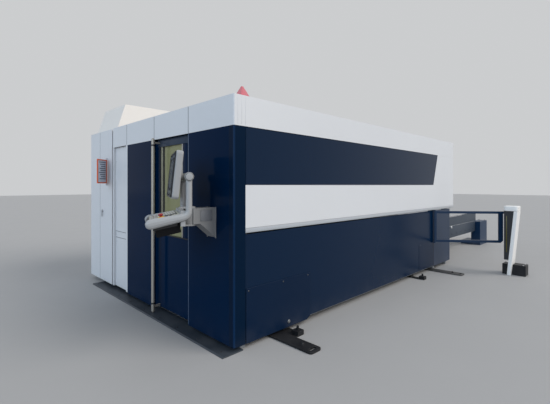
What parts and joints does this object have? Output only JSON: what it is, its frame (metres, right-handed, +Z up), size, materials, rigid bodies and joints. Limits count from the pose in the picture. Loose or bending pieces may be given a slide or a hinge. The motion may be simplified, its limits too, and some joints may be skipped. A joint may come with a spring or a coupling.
{
  "type": "fiber laser cutting machine",
  "caption": "Enclosed fiber laser cutting machine with sliding door, service bay, swivelling operator console, gantry, pallet changer and side guard.",
  "frame": {"origin": "middle of the machine's footprint on the floor", "axes": "+X along the length from the access door and console towards the pallet changer, +Y from the long window side towards the service bay, +Z up"},
  "size_m": [9.5172, 5.16, 2.8],
  "materials": {
    "white_paint": "textured powder coat, satin",
    "pale_grey_paint": "satin powder coat",
    "deep_blue_paint": "semi-gloss enamel",
    "mid_blue_paint": "semi-gloss enamel",
    "slate_paint": "satin enamel",
    "frame_paint": "matt primer grey",
    "dark_glass": "gloss tinted pane",
    "laser_glass": "laser-safe tinted pane",
    "anodised_bar": "satin anodised",
    "black_steel": "black oxide and paint, worn",
    "bright_steel": "ground bright steel",
    "sheet_zinc": "zinc-coated sheet",
    "console_shell": "fine satin lacquer",
    "cream_deck": "cream satin lacquer",
    "key_grey": "matt keycaps",
    "black_plastic": "matt moulded",
    "signal_red": "gloss moulded",
    "signal_yellow": "gloss moulded",
    "orange_frame": "satin moulded",
    "red_lens": "translucent moulded lens"
  },
  "bodies": {
    "machine": {"cabin_frame": "frame_paint", "bed_frame": "frame_paint", "corner_post": "mid_blue_paint", "side_fascia": "white_paint", "side_window": "dark_glass", "side_upper_panel": "white_paint", "side_band": "white_paint", "side_lower_panel": "deep_blue_paint", "side_access_cover": "deep_blue_paint", "side_end_panel": "slate_paint", "front_fascia": "white_paint", "front_panel_right": "deep_blue_paint", "front_panel_left": "deep_blue_paint", "service_panel": "white_paint", "threshold_plate": "black_steel", "door_rail": "sheet_zinc", "service_bay": "white_paint", "joint_strip": "black_plastic", "mounting_plate": "sheet_zinc", "laser_source": "pale_grey_paint", "roof_panel": "pale_grey_paint", "roof_hood": "white_paint", "signal_beacon": "red_lens", "end_wall": "slate_paint", "rear_housing": "white_paint", "back_wall": "white_paint", "lift_base": "black_steel", "lift_block_near": "deep_blue_paint", "lift_block_far": "deep_blue_paint", "gate_hinge": "black_steel", "column_base": "black_steel", "column_slab": "white_paint", "light_curtain": "black_plastic", "column_cap": "white_paint", "anchor_bar_front": "black_steel", "anchor_bar_rear": "black_steel", "levelling_jack": "black_steel", "console_bracket": "console_shell"},
    "front_door": {"door_leaf": "deep_blue_paint", "door_window": "laser_glass", "door_handle_bar": "anodised_bar"},
    "cabinet_door_right": {"cabinet_door_right": "white_paint"},
    "cabinet_door_left": {"cabinet_door_left": "white_paint"},
    "cabinet_lever": {"cabinet_lever": "black_plastic"},
    "document_sleeve": {"document_sleeve": "orange_frame"},
    "console": {"console_frame": "console_shell", "console_tray": "cream_deck", "console_keys": "key_grey", "stop_collar": "signal_yellow"},
    "emergency_stop": {"emergency_stop": "signal_red"},
    "monitor": {"console_monitor": "console_shell", "console_screen": "black_plastic"},
    "gantry": {"gantry_beam": "slate_paint"},
    "carriage": {"gantry_carriage": "pale_grey_paint"},
    "cutting_head": {"cutting_head": "bright_steel"},
    "pallet_upper": {"pallet_upper": "bright_steel"},
    "changer_lift": {"changer_lift": "slate_paint", "pallet_lower": "bright_steel"},
    "safety_gate": {"safety_gate": "deep_blue_paint"},
    "pallet_shutter": {"pallet_shutter": "sheet_zinc"}
  },
  "joints": [
    {"name": "front_door_slide", "type": "slide", "parent": "machine", "child": "front_door", "axis": [0, -1, 0], "range_m": [0, 0.66]},
    {"name": "cabinet_door_right_hinge", "type": "hinge", "parent": "machine", "child": "cabinet_door_right", "pos_m": [-4.04141, 1.656, 1.2], "axis": [0, 0, 1], "range_deg": [0, 100]},
    {"name": "cabinet_door_left_hinge", "type": "hinge", "parent": "machine", "child": "cabinet_door_left", "pos_m": [-4.04141, 2.58, 1.2], "axis": [0, 0, -1], "range_deg": [0, 110]},
    {"name": "cabinet_lever_turn", "type": "hinge", "parent": "cabinet_door_right", "child": "cabinet_lever", "pos_m": [-4.04141, 2.04, 1.15], "axis": [1, 0, 0], "range_deg": [0, 90]},
    {"name": "document_sleeve_hinge", "type": "hinge", "parent": "cabinet_door_right", "child": "document_sleeve", "pos_m": [-4.05741, 1.84, 1.76], "axis": [0, 0, 1], "range_deg": [-125, 0]},
    {"name": "console_swivel", "type": "hinge", "parent": "machine", "child": "console", "pos_m": [-4.29141, -0.939, 1.26], "axis": [0, 0, 1], "range_deg": [-25, 74]},
    {"name": "emergency_stop_press", "type": "slide", "parent": "console", "child": "emergency_stop", "axis": [0.1736, -0.0791, -0.9816], "range_m": [0, 0.005], "stiffness_N_per_m": 1500, "springref_m": -0.003},
    {"name": "monitor_tilt", "type": "hinge", "parent": "console", "child": "monitor", "pos_m": [-4.32325, -0.92449, 1.627], "axis": [0.4147, 0.91, 0], "range_deg": [-14, 24]},
    {"name": "gantry_slide", "type": "slide", "parent": "machine", "child": "gantry", "axis": [1, 0, 0], "range_m": [0, 3.2]},
    {"name": "carriage_slide", "type": "slide", "parent": "gantry", "child": "carriage", "axis": [0, 1, 0], "range_m": [0, 1.42]},
    {"name": "cutting_head_slide", "type": "slide", "parent": "carriage", "child": "cutting_head", "axis": [0, 0, -1], "range_m": [0, 0.08]},
    {"name": "pallet_upper_slide", "type": "slide", "parent": "machine", "child": "pallet_upper", "axis": [1, 0, 0], "range_m": [0, 3.9]},
    {"name": "changer_lift_slide", "type": "slide", "parent": "machine", "child": "changer_lift", "axis": [0, 0, -1], "range_m": [-0.23, 0]},
    {"name": "safety_gate_hinge", "type": "hinge", "parent": "machine", "child": "safety_gate", "pos_m": [0.56859, -1.314, 0.8], "axis": [0, 0, 1], "range_deg": [0, 48]},
    {"name": "pallet_shutter_slide", "type": "slide", "parent": "machine", "child": "pallet_shutter", "axis": [0, 0, -1], "range_m": [0, 0.41]}
  ]
}
